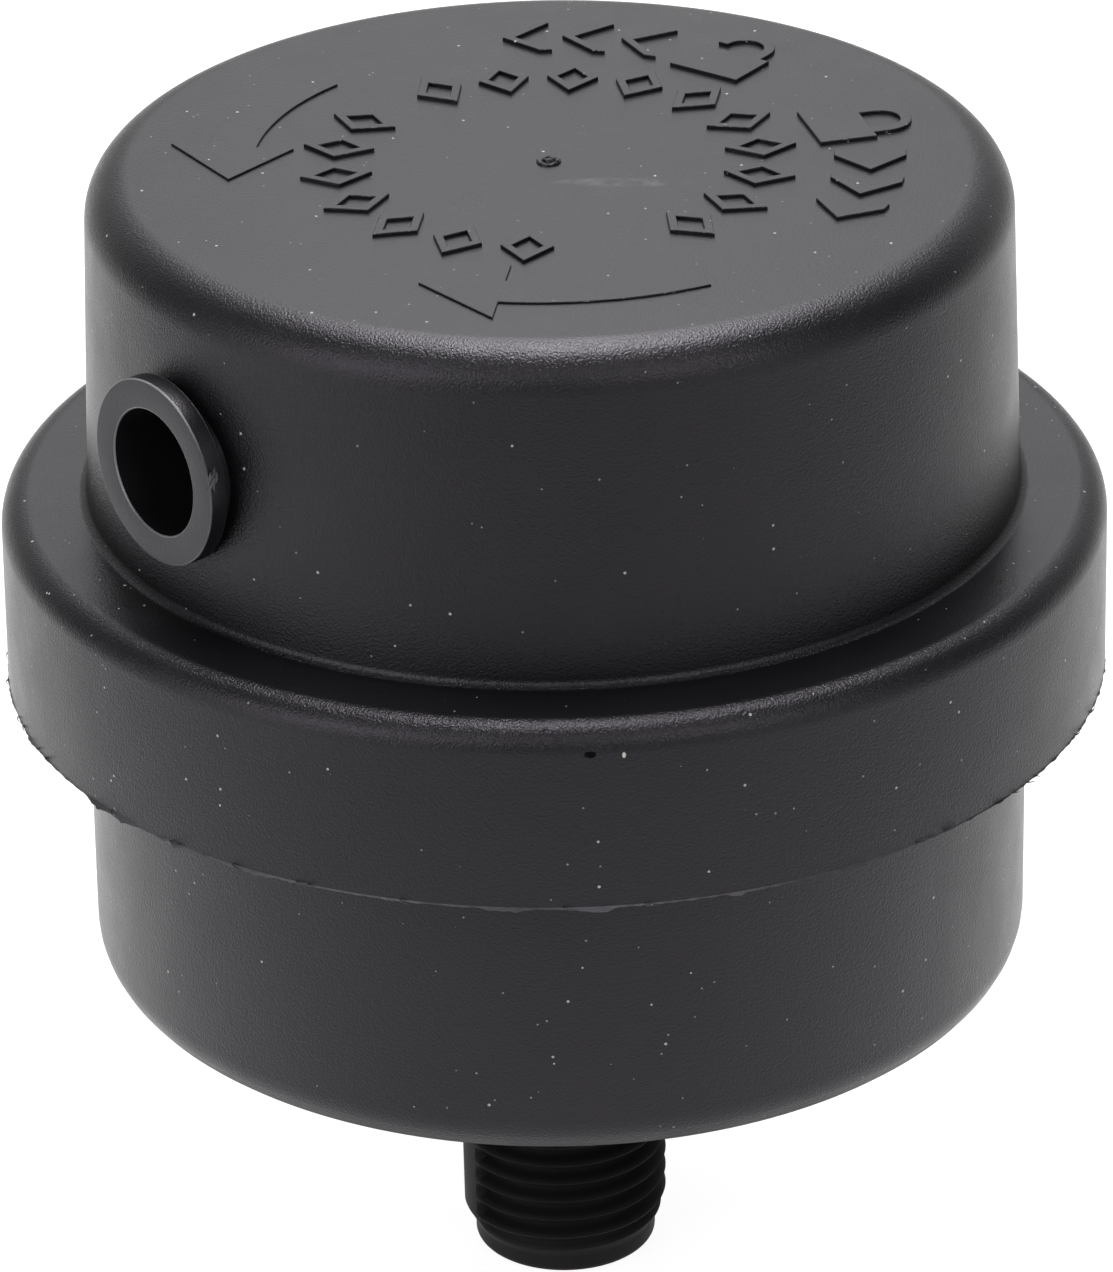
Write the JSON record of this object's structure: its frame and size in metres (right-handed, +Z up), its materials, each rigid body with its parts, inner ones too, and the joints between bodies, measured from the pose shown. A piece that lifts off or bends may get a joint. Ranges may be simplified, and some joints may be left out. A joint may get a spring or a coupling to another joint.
{
  "type": "pneumatic intake muffler",
  "caption": "Round black plastic intake muffler: a twist-off cup lid with a side inlet over a cup base with a pipe-thread stem, holding a pleated filter element.",
  "frame": {"origin": "on the thread's axis, in the plane of the base's flat underside, where the male thread begins", "axes": "+Z up along the thread's axis from the stem to the lid's top; -X out of the side inlet; +Y completes the right-handed frame"},
  "size_m": [0.0684, 0.0684, 0.0754],
  "materials": {
    "housing_plastic": "black moulded plastic with a fine spark-eroded grain",
    "inlet_plastic": "black moulded plastic, slightly smoother than the housing",
    "rubber": "black rubber, matt",
    "cap_steel": "zinc-plated pressed sheet",
    "potting": "grey set adhesive, satin",
    "filter_paper": "resin-treated pleated filter paper",
    "foam": "charcoal open-cell foam",
    "felt": "pressed grey-white felt"
  },
  "bodies": {
    "base": {"base_housing": "housing_plastic", "element_gasket": "rubber", "filter_bottom_cap": "cap_steel", "filter_bottom_potting": "potting", "filter_core": "cap_steel", "filter_media": "filter_paper", "filter_top_potting": "potting", "filter_top_cap": "cap_steel"},
    "seal": {"lid_seal_ring": "rubber"},
    "lid": {"lid_housing": "housing_plastic", "inlet_tube": "inlet_plastic", "foam_liner": "foam", "hold_down_pad": "felt"}
  },
  "joints": [
    {"name": "lid_twist", "type": "hinge", "parent": "base", "child": "seal", "pos_m": [0, 0, 0.0289], "axis": [0, 0, 1], "range_deg": [0, 360]},
    {"name": "lid_lift", "type": "slide", "parent": "seal", "child": "lid", "axis": [0, 0, 1], "range_m": [0, 0.036]}
  ],
  "couplings": [
    {"joint": "lid_lift", "follows": "lid_twist", "m_per_rad": 0.0057296}
  ]
}
